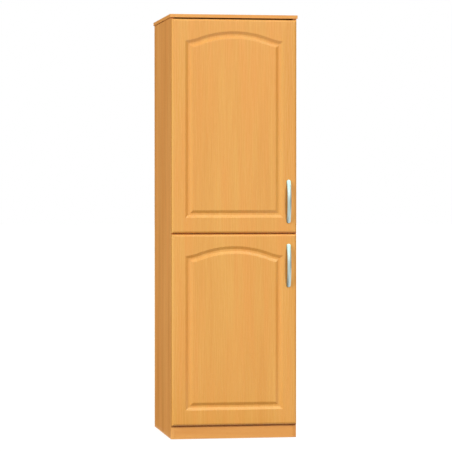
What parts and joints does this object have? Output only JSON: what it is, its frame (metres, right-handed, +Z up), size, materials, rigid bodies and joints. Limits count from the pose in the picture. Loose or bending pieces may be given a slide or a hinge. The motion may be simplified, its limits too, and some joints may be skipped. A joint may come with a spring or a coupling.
{
  "type": "refrigerator housing cabinet",
  "caption": "Tall beech kitchen cabinet that houses a built-in refrigerator behind its lower arched door, with shelved storage behind the upper one.",
  "frame": {"origin": "middle of the outer box at floor level", "axes": "+Z up, doors and handles face -Y, +X to the right when facing the doors"},
  "size_m": [0.61, 0.628, 2],
  "materials": {
    "beech_board": "beech melamine on chipboard, satin, with matching edge strips",
    "beech_foil": "beech foil wrapped over a routed fibreboard door, satin",
    "hardboard": "thin hardboard, lacquered beech on the front, brown at the back",
    "dowel_beech": "fluted beech dowel",
    "satin_handle": "satin, pale bluish grey",
    "nickel_steel": "nickel-plated pressed steel",
    "zinc": "zinc-plated or die-cast zinc",
    "soft_bumper": "soft translucent plastic disc"
  },
  "bodies": {
    "carcase": {"side_left": "beech_board", "side_right": "beech_board", "top_board": "beech_board", "bottom_board": "beech_board", "divider_board": "beech_board", "plinth_board": "beech_board", "rear_plinth_rail": "beech_board", "middle_rear_rail": "beech_board", "top_rear_rail": "beech_board", "upper_back_panel": "hardboard", "adjustable_shelf_1": "beech_board", "adjustable_shelf_2": "beech_board", "shelf_pins": "nickel_steel", "dowels": "dowel_beech", "cam_locks": "zinc", "cam_bolts": "zinc", "upper_hinge_arms": "nickel_steel", "upper_hinge_arm_screws": "zinc", "upper_hinge_plates": "nickel_steel", "upper_hinge_plate_screws": "zinc", "lower_hinge_arms": "nickel_steel", "lower_hinge_arm_screws": "zinc", "lower_hinge_plates": "nickel_steel", "lower_hinge_plate_screws": "zinc"},
    "upper_door": {"upper_door": "beech_foil", "upper_door_bumpers": "soft_bumper", "upper_handle": "satin_handle", "upper_handle_screws": "zinc", "upper_hinge_cups": "nickel_steel", "upper_hinge_cup_screws": "zinc", "upper_hinge_pins": "nickel_steel"},
    "lower_door": {"lower_door": "beech_foil", "lower_door_bumpers": "soft_bumper", "lower_handle": "satin_handle", "lower_handle_screws": "zinc", "lower_hinge_cups": "nickel_steel", "lower_hinge_cup_screws": "zinc", "lower_hinge_pins": "nickel_steel"}
  },
  "joints": [
    {"name": "upper_door_swing", "type": "hinge", "parent": "carcase", "child": "upper_door", "pos_m": [-0.2918, -0.277, 1.474], "axis": [0, 0, -1], "range_deg": [0, 100]},
    {"name": "lower_door_swing", "type": "hinge", "parent": "carcase", "child": "lower_door", "pos_m": [-0.2918, -0.277, 0.51475], "axis": [0, 0, -1], "range_deg": [0, 100]}
  ]
}
